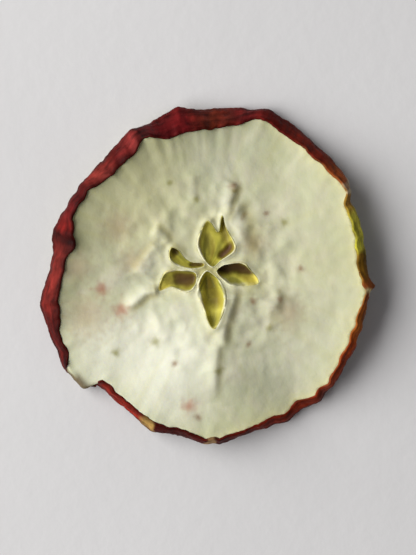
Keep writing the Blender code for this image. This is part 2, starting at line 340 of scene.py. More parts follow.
def rim_lift(points):
    angle, radius = polar(points)
    lift = sum(hump(angle, *one, LIFT_FLATNESS) for one in LIFTS)
    return lift * (radius / MEAN_RADIUS) ** LIFT_POWER


def noise_at(points, spacing, layer):
    return np.array([noise.noise((x / spacing, y / spacing, layer)) for x, y in points])


def gap_to_line(line, points):
    """Distance from a line, positive on its left, and how far along it the nearest point lies."""
    best = np.full(len(points), np.inf)
    side = np.ones(len(points))
    share = np.zeros(len(points))
    runs = len(line) - 1
    for i in range(runs):
        start = np.array(line[i])
        run = np.array(line[i + 1]) - start
        along = np.clip((points - start) @ run / (run @ run), 0, 1)
        off = points - start - along[:, None] * run
        size = np.hypot(*off.T)
        nearer = size < best
        best = np.where(nearer, size, best)
        turn = run[0] * off[:, 1] - run[1] * off[:, 0]
        side = np.where(nearer, np.where(turn < 0, -1.0, 1.0), side)
        share = np.where(nearer, (i + along) / runs, share)
    return side * best, share


def fold_fade(share):
    """One along a fold, falling to nought at its start and, more slowly, at its end."""
    return np.minimum(1, np.minimum(9 * share, 4 * (1 - share)))


def fold_height(folds, points):
    total = np.zeros(len(points))
    for line, height, right, left in folds:
        gap, share = gap_to_line(line, points)
        width = np.where(gap > 0, left, right)
        total += height * fold_fade(share) * bell(gap, width)
    return total


def warp(points):
    """Height of the flesh's underside before its own unevenness."""
    share = np.hypot(*points.T) / MEAN_RADIUS
    middle = MIDDLE_CLEARANCE * np.maximum(0, 1 - share**2) + FLESH_RECESS
    return rim_lift(points) + middle + fold_height(BENDS, points)


def foot_face(points):
    """Height of the peel's foot, nought where the slice rests."""
    return np.maximum(0, rim_lift(points) - FLAT_CONTACT)


# ---------------------------------------------------------------------------------------
# The rim in plan
# ---------------------------------------------------------------------------------------
def closed_blur(values, sigma):
    """Smooths values round a ring with a bell of sigma stations."""
    reach = int(3 * sigma) + 1
    weights = np.exp(-0.5 * (np.arange(-reach, reach + 1) / sigma) ** 2)
    weights /= weights.sum()
    return sum(w * np.roll(values, k, axis=0) for w, k in zip(weights, range(-reach, reach + 1)))


def bare_at(angle):
    """One on the torn beak, where the flesh has lost its peel, and nought elsewhere."""
    after = np.clip((angle - PEEL_END) / BARE_FADE_IN, 0, 1)
    before = np.clip((PEEL_START - angle) / BARE_FADE_OUT, 0, 1)
    return np.minimum(after, before)


class Rim:
    """Stations round the rim: angle, radius, band and stand, every quarter of a millimetre."""

    def __init__(self):
        angle, radius, band, stand = np.array(RIM_KINKS, float).T
        turn = np.radians(angle)
        corners = np.stack([radius * np.cos(turn), radius * np.sin(turn), band, stand], 1)
        self.cad_middle = (corners[:, :2].min(0) + corners[:, :2].max(0)) / 2
        runs = []
        for here, after in zip(corners, np.roll(corners, -1, axis=0)):
            steps = max(2, round(np.hypot(*(after - here)[:2]) / RIM_STEP))
            runs.append(here + np.linspace(0, 1, steps, endpoint=False)[:, None] * (after - here))
        stations = closed_blur(np.concatenate(runs), KINK_SOFTNESS / RIM_STEP)
        plan = stations[:, :2]
        self.angle, radius = polar(plan)
        ripple = sum(height * noise_at(plan, spacing, layer) for height, spacing, layer in RIM_RIPPLES)
        self.radius = radius + ripple
        size, spacing, layer = BAND_UNEVEN
        band = stations[:, 2] + size * noise_at(plan, spacing, layer)
        self.band = np.maximum(BAND_LEAST, band)
        size, spacing, layer = STAND_UNEVEN
        stand = stations[:, 3] * (1 + size * noise_at(plan, spacing, layer))
        self.stand = np.maximum(0, stand)
        order = np.argsort(self.angle)
        for name in ("angle", "radius", "band", "stand"):
            setattr(self, name, getattr(self, name)[order])

    def at(self, name, angle):
        return np.interp(angle, self.angle, getattr(self, name), period=360)

    def plan(self, inward):
        """Plan points of the stations moved in towards the middle."""
        radius = self.radius - inward
        turn = np.radians(self.angle)
        return np.stack([radius * np.cos(turn), radius * np.sin(turn)], 1)

    def tuck(self):
        """How far the peel's foot lies in from its widest place."""
        return np.maximum(TUCK_LEAST, TUCK_MOST - TUCK_SLOPE * self.band)

    def bare(self):
        return bare_at(self.angle)

    def skin(self, share, depth=0.0, drop=1.0):
        """Plan and height of the peel's outer face, from its upper edge, 0, to its foot, 1.

        The section is a quadratic curve through the edge, the belly and the sole. The face may be
        sunk by a depth, and its edge lowered to a share of its height, the drop.
        """
        foot = foot_face(self.plan(0.0))
        crest = top_face(self.plan(self.band)) + PEEL_STEP + PEEL_STAND * self.stand
        crest = foot + (crest - foot) * drop
        at = PEEL_BELLY_SHARE
        corners = []
        belly_height = foot + PEEL_BELLY_HEIGHT + hump(self.angle, *FULL_SHOULDER)
        for edge, belly, sole in ((self.band, 0.0, self.tuck()), (crest, belly_height, foot)):
            pull = (belly - (1 - at) ** 2 * edge - at**2 * sole) / (2 * at * (1 - at))
            corners.append((edge, pull, sole))
        place, slope = [], []
        for edge, pull, sole in corners:
            place.append((1 - share) ** 2 * edge + 2 * share * (1 - share) * pull + share**2 * sole)
            slope.append(2 * (1 - share) * (pull - edge) + 2 * share * (sole - pull))
        size = np.hypot(*slope)
        inward = place[0] - slope[1] / size * depth
        return self.plan(inward), place[1] + slope[0] / size * depth


RIM = Rim()


# ---------------------------------------------------------------------------------------
# Seed cells in plan
# ---------------------------------------------------------------------------------------
def smooth_loop(corners, step):
    """A closed Catmull-Rom curve through the corners, with points an even step apart."""
    a, b, c, d = (np.roll(np.array(corners, float), -k, axis=0)[:, None] for k in (-1, 0, 1, 2))
    steps = 24
    t = np.linspace(0, 1, steps, endpoint=False)[None, :, None]
    square, cube = 2 * a - 5 * b + 4 * c - d, 3 * b - a - 3 * c + d
    dense = 0.5 * (2 * b + (c - a) * t + square * t**2 + cube * t**3)
    dense = dense.reshape(-1, 2)
    closed = np.concatenate([dense, dense[:1]])
    length = np.concatenate([[0], np.cumsum(np.hypot(*np.diff(closed, axis=0).T))])
    even = np.linspace(0, length[-1], round(length[-1] / step), endpoint=False)
    return np.stack([np.interp(even, length, closed[:, k]) for k in (0, 1)], 1)


def nearest_on_lines(lines, points):
    best = np.full(len(points), np.inf)
    nearest = np.zeros_like(points)
    for line in lines:
        for start, end in zip(np.array(line[:-1]), np.array(line[1:])):
            run = end - start
            along = np.clip((points - start) @ run / (run @ run), 0, 1)
            spot = start + along[:, None] * run
            size = np.hypot(*(points - spot).T)
            nearest = np.where((size < best)[:, None], spot, nearest)
            best = np.minimum(best, size)
    return nearest


class Cell:
    """One seed cell: its mouth, and rings of its walls at any closeness to the middle line."""

    def __init__(self, sizes):
        self.mouth = smooth_loop(sizes["mouth"], CELL_STEP)
        softness = 2.0
        self.centre = closed_blur(nearest_on_lines(sizes["middle"], self.mouth), softness)
        self.slant = np.array(sizes["slant"])
        self.depth = sizes["depth"]
        self.pits = sizes["pits"]
        self.painted_deep_shade = sizes["painted_deep_shade"]

    def ring(self, closeness, sunk):
        """Plan of a ring of the wall, with its closeness 0 at the mouth and 1 on the middle line.

        The wall slants as it sinks, from 0 at the lips to 1 on the floor.
        """
        reach = np.reshape(1 - np.asarray(closeness), (-1, 1))
        return self.centre + reach * (self.mouth - self.centre) + sunk * self.slant

    def pit_at(self, plan):
        """One along the deepest lines of the cell, fading to nought beside them."""
        ragged = 1 + 0.4 * noise_at(plan, 1.3, 15.0)
        deepest = np.zeros(len(plan))
        for line, half_width, share in self.pits:
            gap = ragged * np.abs(gap_to_line(line, plan)[0]) / half_width
            deepest = np.maximum(deepest, share * np.exp(-(gap**3)))
        return deepest

    def fall_at(self, plan):
        """How far the floor lies below the foot of the lips."""
        share = SHALLOW_SHARE + (1 - SHALLOW_SHARE) * self.pit_at(plan)
        return self.depth * share - CELL_LIP


CELL_LIST = [Cell(sizes) for sizes in CELLS.values()]


def gap_to_cells(points):
    """Distance from the nearest edge of a seed cell's mouth, and infinity far from the core."""
    edges = np.concatenate([cell.mouth for cell in CELL_LIST])
    gap = np.full(len(points), np.inf)
    margin = 3
    near = np.hypot(*points.T) < FINE_RADIUS + margin
    off = points[near][:, None] - edges[None]
    gap[near] = np.sqrt((off**2).sum(2).min(1))
    return gap


def under_face(points):
    return warp(points) + 0.15 * noise_at(points, 4.0, 0.5)


def spokes(angle, radius, spacing, layer):
    """Noise that runs out from the core, as the vessels and the rim's puckers do."""
    turn = np.radians(angle)
    spot = np.stack([np.cos(turn), np.sin(turn)], 1) * MEAN_RADIUS
    drift = 0.06
    return noise_at(spot + radius[:, None] * drift, spacing, layer)


def gap_to_edge(angle, radius):
    """Distance in from the outer edge of the cut face."""
    return np.maximum(0, RIM.at("radius", angle) - RIM.at("band", angle) - radius)


def top_face(points):
    """The cut face: the warped sheet with its creases, rim curl, wrinkles and cell lips."""
    angle, radius = polar(points)
    share = radius / MEAN_RADIUS
    edge_gap = gap_to_edge(angle, radius)
    curl = (CURL_LEAST + CURL_STAND * RIM.at("stand", angle)) * np.exp(-edge_gap / CURL_REACH)
    lip = CELL_LIP * bell(gap_to_cells(points), LIP_WIDTH)
    height = warp(points) + FLESH_THICKNESS + RIM_THICKENING * share**4
    height += fold_height(CREASES, points) + curl + lip
    size, spacing, layer = PUCKERS
    height += size * np.exp(-edge_gap / PUCKER_REACH) * spokes(angle, radius, spacing, layer)
    core = bell(radius - CORE_RING_RADIUS, CORE_RING_WIDTH)
    for kind, size, extra, spacing, layer in FACE_WAVES:
        wave = noise_at(points, spacing, layer)
        height += (size + extra * core) * (-np.abs(wave) if kind == "valley" else wave)
    return height


# ---------------------------------------------------------------------------------------
# Mesh making
# ---------------------------------------------------------------------------------------
def cad_shift():
    """The step, in millimetres, from the middle of the slice's plan to the frame of the CAD."""
    low, high = CAD_BOX
    middle = (low + high) / 2 / MM
    return np.array([*(np.array(middle[:2]) - RIM.cad_middle), low.z / MM])


SHIFT = cad_shift()


def to_frame(points):
    """Millimetres about the middle of the slice to metres in the frame of the CAD."""
    return (points + SHIFT) * MM


class Shell:
    """Collects rings, sheets and bands of one piece, in millimetres, with named values."""

    def __init__(self):
        self.points = np.zeros((0, 3))
        self.faces = []
        self.values = {}

    def add_points(self, plan, height, **values):
        start = len(self.points)
        count = len(plan)
        self.points = np.concatenate([self.points, np.column_stack([plan, height])])
        for name in {**self.values, **values}:
            old = self.values.get(name, np.zeros(start))
            new = np.broadcast_to(values.get(name, 0.0), (count,))
            self.values[name] = np.concatenate([old, new])
        return np.arange(start, start + count)

    def band(self, upper, lower, closed=True):
        """Quads from one ring to the next, facing out where the rings run anticlockwise."""
        last = len(upper) if closed else len(upper) - 1
        for i in range(last):
            j = (i + 1) % len(upper)
            self.faces.append((upper[i], lower[i], lower[j], upper[j]))

    def fill(self, loops, inner_plan=np.zeros((0, 2)), inner_height=0.0, up=True, **values):
        """Triangles between an outer ring and the rings of its holes, through any inner points."""
        inner_height = np.broadcast_to(inner_height, len(inner_plan))
        ids = np.concatenate([*loops, self.add_points(inner_plan, inner_height, **values)])
        plan = self.points[ids, :2]
        edges = []
        start = 0
        for loop in loops:
            edges += [(start + i, start + (i + 1) % len(loop)) for i in range(len(loop))]
            start += len(loop)
        corners = [Vector(p) for p in plan]
        whole_hull, tolerance = 0, 1e-7
        triangles = np.array(delaunay_2d_cdt(corners, edges, [], whole_hull, tolerance)[2])
        centres = plan[triangles].mean(1)
        keep = inside(centres, self.points[loops[0], :2])
        for loop in loops[1:]:
            keep &= ~inside(centres, self.points[loop, :2])
        triangles = ids[triangles[keep]]
        self.faces += [tuple(t) for t in (triangles if up else triangles[:, ::-1])]

    def make(self, name):
        mesh = bpy.data.meshes.new(name)
        mesh.from_pydata(to_frame(self.points).tolist(), [], [tuple(map(int, f)) for f in self.faces])
        for value_name, value in self.values.items():
            layer = mesh.attributes.new(value_name, "FLOAT", "POINT")
            layer.data.foreach_set("value", value.astype(np.float32))
        mesh.shade_smooth()
        obj = bpy.data.objects.new(name, mesh)
        bpy.context.scene.collection.objects.link(obj)
        return obj


def inside(points, loop):
    """Which points lie inside a closed loop, by counting crossings."""
    odd = np.zeros(len(points), bool)
    x, y = points.T
    before = np.roll(loop, 1, axis=0)
    for (x0, y0), (x1, y1) in zip(before, loop):
        if y0 == y1:
            continue
        crosses = (y0 > y) != (y1 > y)
        odd ^= crosses & (x < x0 + (y - y0) / (y1 - y0) * (x1 - x0))
    return odd


def scattered(spacing, inner_radius, outer_radius, rng):
    """A jittered triangular grid in a ring between two radii."""
    jitter = 0.2
    rows = np.arange(-outer_radius, outer_radius, spacing * math.sqrt(3) / 2)
    columns = np.arange(-outer_radius, outer_radius, spacing)
    x, y = np.meshgrid(columns, rows)
    x = x + (np.arange(len(rows)) % 2)[:, None] * spacing / 2
    points = np.stack([x.ravel(), y.ravel()], 1)
    points += rng.uniform(-jitter, jitter, points.shape) * spacing
    radius = np.hypot(*points.T)
    return points[(radius >= inner_radius) & (radius < outer_radius)]


def clear_of(points, outer, holes, gap):
    """The points inside the outer loop, outside the holes, and a gap clear of every edge."""
    keep = inside(points, outer)
    for hole in holes:
        keep &= ~inside(points, hole)
    points = points[keep]
    block_size = 4000
    for loop in (outer, *holes):
        for block in np.array_split(np.arange(len(points)), max(1, len(points) // block_size)):
            off = points[block][:, None] - loop[None]
            near = (off**2).sum(2).min(1) < gap**2
            points[block[near]] = np.nan
    return points[~np.isnan(points[:, 0])]


def marks_at(points, stain):
    """One in the middle of each mark of a stain, with ragged edges."""
    strength = np.zeros(len(points))
    ragged = 1 + 0.6 * noise_at(points, 0.8, 90.0)
    for (x, y), size, kind in MARKS:
        if kind == stain:
            gap = np.hypot(points[:, 0] - x, points[:, 1] - y) * ragged
            strength = np.maximum(strength, bell(gap, size))
    return strength


def patches_at(points, stain):
    x, y = points.T
    return sum(
        strength * np.exp(-(((x - middle_x) / half_width) ** 4) - ((y - middle_y) / half_height) ** 4)
        for (middle_x, middle_y), half_width, half_height, strength in PATCHES[stain]
    )


# How far the flesh's tints reach: in from the rim, in from the bare edge and from the thin edge with
# its painted glow, across a cell's lip and its halo, and out from the heart.
RIM_REACH, BARE_REACH, PAINTED_GLOW_REACH = 4.0, 0.9, 0.9
LIP_REACH, HALO_REACH, HEART_RADIUS = 0.8, 1.9, 2.4
# The crests of the creases are whitened with a painted highlight: by how much, and from what height in
# full.
CREST_PAINTED_HIGHLIGHT, CREST_HEIGHT = 0.55, 0.6
# Direction of the thin edge that is lit with a painted glow, as of light coming through it, in
# degrees.
PAINTED_GLOW_DIRECTION = -12


def flesh_values(points):
    """What the flesh's colour goes by, each from nought upwards."""
    angle, radius = polar(points)
    edge_gap = gap_to_edge(angle, radius)
    cell_gap = gap_to_cells(points)
    values = {stain: marks_at(points, stain) for stain in ("rust", "olive", "pink", "brown")}
    # The rim tint is partly the flesh's own green by the peel and partly painted shade beside it.
    values["rim"] = np.exp(-edge_gap / RIM_REACH)
    # Painted highlight on the crests of the creases, laid with the pale patches.
    crest = CREST_PAINTED_HIGHLIGHT * np.clip(fold_height(CREASES, points) / CREST_HEIGHT, 0, 1)
    values["pale_and_painted_light"] = np.maximum(patches_at(points, "pale_and_painted_light"), crest)
    # Where the pale lip of a cell is broken, the yellow halo round the cell is stronger.
    broken = np.clip(0.65 + 1.4 * noise_at(points, 1.6, 33.0), 0, 1)
    values["lip"] = broken * bell(cell_gap, LIP_REACH)
    halo = (1.3 - 0.8 * broken) * bell(cell_gap, HALO_REACH)
    # The yellow patches are partly painted shade; the halo round the cells is the flesh's own yellow.
    values["yellowed_and_painted_shade"] = patches_at(points, "yellowed_and_painted_shade") + halo
    # The vessels show from a quarter of the way out.
    vessels = np.clip(spokes(angle, radius, 1.6, 21.0), 0, 1)
    values["yellowed_and_painted_shade"] += 0.6 * vessels * np.clip(radius / 12 - 0.6, 0, 1)
    values["painted_crease_shade"] = painted_crease_shade_at(points)
    values["heart"] = np.exp(-((radius / HEART_RADIUS) ** 4))
    values["edge"] = bare_at(angle) * bell(edge_gap, BARE_REACH)
    # Painted glow: the thin edge on the right is lightened as if light shone through it.
    facing = np.clip(np.cos(np.radians(angle - PAINTED_GLOW_DIRECTION)) * 2, 0, 1)
    values["thin"] = np.exp(-edge_gap / PAINTED_GLOW_REACH) * facing
    return values


def painted_crease_shade_at(points):
    """Painted shade: one in the foot of each crease's steep flank, where its shade falls."""
    strength = np.zeros(len(points))
    for line, height, _, steep in CREASES:
        gap, share = gap_to_line(line, points)
        shade = bell(gap - 1.1 * steep, 0.8 * steep)
        full_height = 0.7
        shade = np.minimum(1, height / full_height) * fold_fade(share) * shade
        strength = np.maximum(strength, shade)
    return strength


def wall_of_flesh(shell, top_loop):
    """The rings of the wall behind the peel, from the cut face down."""
    end_gap = np.clip(np.abs(RIM.angle - PEEL_END) / WALL_RISE, 0, 1)
    covered = (1 - RIM.bare()) * (WALL_LEAST + (1 - WALL_LEAST) * end_gap)
    steepness, lowest = 0.3, 0.1
    rings = [top_loop]
    for share, depth in WALL_RINGS:
        plan, height = RIM.skin(share, depth * covered)
        height = np.minimum(height, shell.points[top_loop, 2] - steepness * share)
        rings.append(shell.add_points(plan, np.maximum(height, lowest), rim=1.0, edge=1.0))
    return rings


def make_flesh():
    rng = np.random.default_rng(SEED)
    shell = Shell()
    behind_peel = 0.2
    top_plan = RIM.plan(RIM.band + behind_peel * (1 - RIM.bare()))
    under_plan = RIM.plan(RIM.tuck() + FOOT_LAND + FOOT_SLOPE)
    top_loop = shell.add_points(top_plan, top_face(top_plan), **flesh_values(top_plan))
    under_loop = shell.add_points(under_plan, under_face(under_plan), rim=1.0)
    rings = [*wall_of_flesh(shell, top_loop), under_loop]
    for upper, lower in zip(rings, rings[1:]):
        shell.band(upper, lower)
    mouths = [cell_in_flesh(shell, cell) for cell in CELL_LIST]
    mouth_plans = [shell.points[mouth, :2] for mouth in mouths]
    fine = scattered(FINE_SPACING, 0, FINE_RADIUS, rng)
    fine = clear_of(fine, top_plan, mouth_plans, FINE_CLEARANCE)
    coarse = scattered(FACE_SPACING, FINE_RADIUS, GRID_RADIUS, rng)
    coarse = clear_of(coarse, top_plan, [], FACE_CLEARANCE)
    inner = np.concatenate([fine, coarse])
    shell.fill([top_loop, *mouths], inner, top_face(inner), **flesh_values(inner))
    below = scattered(UNDER_SPACING, 0, GRID_RADIUS, rng)
    below = clear_of(below, under_plan, [], UNDER_CLEARANCE)
    shell.fill([under_loop], below, under_face(below), up=False, rim=0.2)
    return shell.make("apple_flesh")


# The pocket behind a lining: closeness to the middle line, and how far the ring has sunk; and
# the room that it leaves under the lining, and at least under the cut face.
POCKET_RINGS = ((0.0, 0.15), (0.08, 0.5), (0.18, 0.85), (0.4, 1.0), (0.75, 1.0))
POCKET_ROOM = 0.55
POCKET_LEAST = 0.6
MOUTH_EDGE = -0.06


def cell_in_flesh(shell, cell):
    """The pocket that holds a cell's lining, and its mouth in the cut face."""
    start = cell.ring(MOUTH_EDGE, 0)
    top = top_face(start)
    mouth = shell.add_points(start, top, **flesh_values(start))
    ring = mouth
    for closeness, sunk in POCKET_RINGS:
        plan = cell.ring(closeness, sunk)
        floor = warp(plan) + FLESH_THICKNESS - cell.depth - POCKET_ROOM
        height = top + sunk * (np.minimum(floor, top - POCKET_LEAST) - top)
        lower = shell.add_points(plan, height, brown=0.4)
        shell.band(lower, ring)
        ring = lower
    shell.fill([ring])
    return mouth


# ---------------------------------------------------------------------------------------
# Parchment lining of the seed cells
# ---------------------------------------------------------------------------------------
# The lining from the outer side of its lip down to its floor: closeness to the cell's middle line,
# how far it has sunk, whether it follows the ragged lip, its rise, and the depth of its colour,
# whose darker olive is partly painted shade.
LINING_RINGS = (
    (-0.24, 0.0, False, CELL_LIP - 0.40, 0.0),
    (-0.15, 0.0, False, CELL_LIP - 0.02, 0.0),
    (-0.06, 0.0, True, -0.04, 0.0),
    (0.0, 0.0, True, 0.0, 0.0),
    (0.05, 0.06, True, -0.10, 0.06),
    (0.09, 0.20, False, 0.30, 0.14),
    (0.13, 0.42, False, 0.12, 0.32),
    (0.19, 0.64, False, 0.05, 0.55),
    (0.30, 0.80, False, 0.02, 0.68),
    (0.42, 0.92, False, 0.0, 0.84),
    (0.55, 1.0, False, 0.0, 1.0),
)
# Its back, under the lip and then under the floor: closeness, and how far it has sunk.
LINING_BACK = ((0.0, 0.3), (0.12, 0.8), (0.5, 1.0), (0.8, 1.0))
LINING_THICKNESS = 0.25


def make_lining():
    shell = Shell()
    first_layer, layer_step = 100.0, 10
    for number, cell in enumerate(CELL_LIST):
        line_cell(shell, cell, first_layer + layer_step * number)
    return shell.make("cell_lining")


def lip_foot(plan):
    """Level of the cut face under the lips, without its creases."""
    return warp(plan) + FLESH_THICKNESS - CELL_LIP


def lining_at(cell, plan, level, sunk, depth, layer):
    """Height and values of the lining that has sunk part of the way to the cell's floor."""
    pit = cell.pit_at(plan)
    angle, radius = polar(plan)
    fibre = noise_at(np.stack([np.radians(angle) * FIBRES, radius * FIBRE_RUN], 1), 1.0, layer)
    height = level - sunk * cell.fall_at(plan) + FIBRE_HEIGHT * sunk * fibre
    return height, {
        "depth": depth * (0.5 + 0.5 * pit),
        # Painted shade in the depths of the cell, strongest in its pits.
        "painted_deep_shade": cell.painted_deep_shade * sunk * pit,
        "fibre": fibre,
        # Lighter yellow at the outer tips: partly their own colour, partly painted light where the
        # walls shade them.
        "tip": np.clip((radius - 5.5) / 3.0, 0, 1),
    }


def line_cell(shell, cell, layer):
    base = top_face(cell.ring(MOUTH_EDGE, 0)) - CELL_LIP
    wobble = noise_at(cell.mouth, 0.9, layer)
    slow = noise_at(cell.mouth, 2.5, layer + 5)
    lip = CELL_LIP + 0.10 + 0.16 * slow + 0.10 * wobble
    rings = []
    for closeness, sunk, on_lip, rise, depth in LINING_RINGS:
        plan = cell.ring(closeness + 0.03 * wobble * (1 - closeness), sunk)
        well_in = np.clip(1.6 * closeness, 0, 1)
        level = base + well_in * (lip_foot(plan) - base)
        height, values = lining_at(cell, plan, level, sunk, depth, layer)
        rings.append(shell.add_points(plan, height + (lip + rise if on_lip else rise), **values))
    for outer, inner in zip(rings, rings[1:]):
        shell.band(inner, outer)
    outline = shell.points[rings[-1], :2]
    grid = scattered(CELL_STEP, 0, FINE_RADIUS, np.random.default_rng(SEED))
    floor = clear_of(grid, outline, [], 0.7 * CELL_STEP)
    height, values = lining_at(cell, floor, lip_foot(floor), 1.0, 1.0, layer)
    shell.fill([rings[-1]], floor, height, **values)
    back = [rings[0]]
    for closeness, sunk in LINING_BACK:
        plan = cell.ring(closeness, sunk)
        under_lip = closeness < 0.3
        level = np.minimum(lip_foot(plan), base) if under_lip else lip_foot(plan)
        height = level - sunk * cell.fall_at(plan) - LINING_THICKNESS
        back.append(shell.add_points(plan, height, depth=1.0))
    for outer, inner in zip(back, back[1:]):
        shell.band(outer, inner)
    shell.fill([back[-1]], up=False)


# ---------------------------------------------------------------------------------------
# Nodes
# ---------------------------------------------------------------------------------------
def linear(code):
    """An sRGB hex colour as linear RGBA."""
    parts = [int(code[i:i + 2], 16) / 255 for i in (1, 3, 5)]
    return (*(c / 12.92 if c <= 0.04045 else ((c + 0.055) / 1.055) ** 2.4 for c in parts), 1.0)


def add(tree, kind, inputs=None, out=0, **settings):
    """Adds a node with its settings and inputs, and gives one of its outputs.

    An input is a value, a hex colour or the output of another node.
    """
    node = tree.nodes.new(kind)
    for name, value in settings.items():
        setattr(node, name, value)
    for name, value in (inputs or {}).items():
        if isinstance(value, bpy.types.NodeSocket):
            tree.links.new(value, node.inputs[name])
        elif isinstance(value, str) and value.startswith("#"):
            node.inputs[name].default_value = linear(value)
        else:
            node.inputs[name].default_value = value
    return node.outputs[out] if node.outputs else None


def set_stops(ramp, stops):
    """Sets a colour ramp's stops, each a place and a hex colour."""
    while len(ramp.elements) < len(stops):
        ramp.elements.new(0.5)
    for element, (place, tint) in zip(ramp.elements, stops):
        element.position = place
        element.color = linear(tint)


def run_tree(obj, tree, values):
    """Runs a tree on an object with its inputs set, and keeps the result as a plain mesh."""
    modifier = obj.modifiers.new(tree.name, "NODES")
    modifier.node_group = tree
    for item in tree.interface.items_tree:
        if item.in_out == "INPUT" and item.name in values:
            modifier[item.identifier] = values[item.name]
    graph = bpy.context.evaluated_depsgraph_get()
    mesh = bpy.data.meshes.new_from_object(obj.evaluated_get(graph))
    obj.modifiers.remove(modifier)
    obj.data = mesh
    return obj


# ---------------------------------------------------------------------------------------
# Peel
# ---------------------------------------------------------------------------------------
PEEL_ROWS = 22
# Width of the strip of peel over its round section, in millimetres, for its patterns.
PEEL_GIRTH = 4.5
# How the peel crumples: depth and spacing in millimetres, how many times longer the pattern is
# along the rim than across, and its place in the noise.
CRUMPLES = {
    "Fold": (0.42, 3.6, 0.7, 0.0),
    "Streak": (0.20, 0.8, 5.0, 31.0),
    "Wrinkle": (0.10, 0.7, 0.8, 57.0),
}
CRUMPLE_SEED = 4.0
# The peel's ground colour round the rim, by direction in degrees, with painted light in it:
# between 115 and 173 degrees the light and dark stops are painted highlights on the folds and
# painted shade between them, and the olive from 10 to 21 degrees and the orange near 342
# degrees are the skin's own colours made brighter as a painted glow of light through the peel.
PEEL_COLOURS_AND_PAINTED_LIGHT = (
    (0, "#6E4C14"), (6, "#7E5E1C"), (10, "#CCC642"), (21, "#C8BE42"), (26, "#A87C2A"),
    (28.5, "#A87A30"), (30, "#E8D6AE"), (31.5, "#E8D6AE"), (33, "#A65A30"), (37, "#8C461C"),
    (45, "#681E10"), (52, "#6A1E12"), (66, "#5A140C"), (76, "#661818"), (88, "#642412"),
    (98, "#6A1618"), (112, "#621618"), (115, "#300A0A"), (119, "#943430"), (128, "#5E1412"),
    (138, "#8E342C"), (144, "#4C100C"), (154, "#601616"), (161, "#781C18"), (166, "#340A08"),
    (173, "#7C2822"), (190, "#74241E"), (199, "#581410"), (224, "#501210"), (227, "#8A2214"),
    (245, "#902416"), (247, "#B89250"), (250.5, "#B89250"), (252, "#4A0E06"), (269.5, "#4A0E06"),
    (270.5, "#BA9262"), (271.5, "#BA9262"), (272.5, "#4A0E06"), (290, "#701C0C"),
    (311, "#802A12"), (320, "#863010"), (332, "#9A3A12"), (342, "#B46624"), (351, "#803C16"),
    (353.5, "#D8C48A"), (355, "#8E4A20"),
)
# Painted shade for the peel's lower part.
PEEL_PAINTED_SHADE = "#42100C"


def peel_stations():
    """The stations that carry peel, in order anticlockwise from one side of the beak to the other."""
    turned = (RIM.angle - PEEL_START) % 360
    last = (PEEL_END - PEEL_START) % 360
    order = np.argsort(turned)
    return order[turned[order] <= last]


def peel_colours(angle, share, ragged):
    """Linear red, green and blue of the peel at a share of the way down.

    Painted shade: the upper edge is darkened on the left, and the lower part all round.
    """
    # Painted shade on the upper edge, on the side turned from the light, and on the lower part.
    away_from_light = 0.6 * np.clip(0.4 - np.cos(np.radians(angle)), 0, 1)
    dark = away_from_light * bell(share + 0.03 * ragged, 0.12)
    shaded = 0.75 * np.clip(0.7 - 0.5 * np.cos(np.radians(angle - 15)), 0.2, 1)
    low = shaded * np.clip((share - 0.22 + 0.04 * ragged) / 0.3, 0, 1)
    places, tints = zip(*PEEL_COLOURS_AND_PAINTED_LIGHT)
    channels = zip(*map(linear, tints))
    colours = {}
    for name, channel, under in zip(("red", "green", "blue"), channels, linear(PEEL_PAINTED_SHADE)):
        ground = np.interp(angle + ragged, places, channel, period=360)
        colours[name] = (1 - dark) * (1 - low) * ground + low * under
    return colours


def make_peel_sheet():
    """The peel's outer face before it crumples, as a strip from its upper edge to its foot."""
    picked = peel_stations()
    angle = RIM.angle[picked]
    belly_plan = RIM.plan(0.0)[picked]
    along = np.concatenate([[0], np.cumsum(np.hypot(*np.diff(belly_plan, axis=0).T))])
    # The strip's torn ends are half as high, and rise to the full height over these lengths.
    first_rise, last_rise = 0.3, 1.5
    ends = np.clip(np.minimum(along / first_rise, (along[-1] - along) / last_rise), 0, 1)
    drop = np.ones(len(RIM.angle))
    drop[picked] = 0.5 + 0.5 * ends
    shell = Shell()
    rings = []
    for share in np.linspace(0, 1, PEEL_ROWS):
        plan, height = RIM.skin(share, drop=drop)
        across = np.full(len(picked), PEEL_GIRTH * share)
        ragged = 2.5 * noise_at(np.stack([along, across], 1), 1.4, 5.0)
        # The foot lies still, and the rest is free to crumple.
        free = np.clip((1 - share) / 0.25, 0, 1)
        rings.append(
            shell.add_points(
                plan[picked], height[picked], along=along, across=across, free=free, turn=angle,
                **peel_colours(angle, share, ragged),
            )
        )
    for upper, lower in zip(rings, rings[1:]):
        shell.band(upper, lower, closed=False)
    return shell.make("peel")


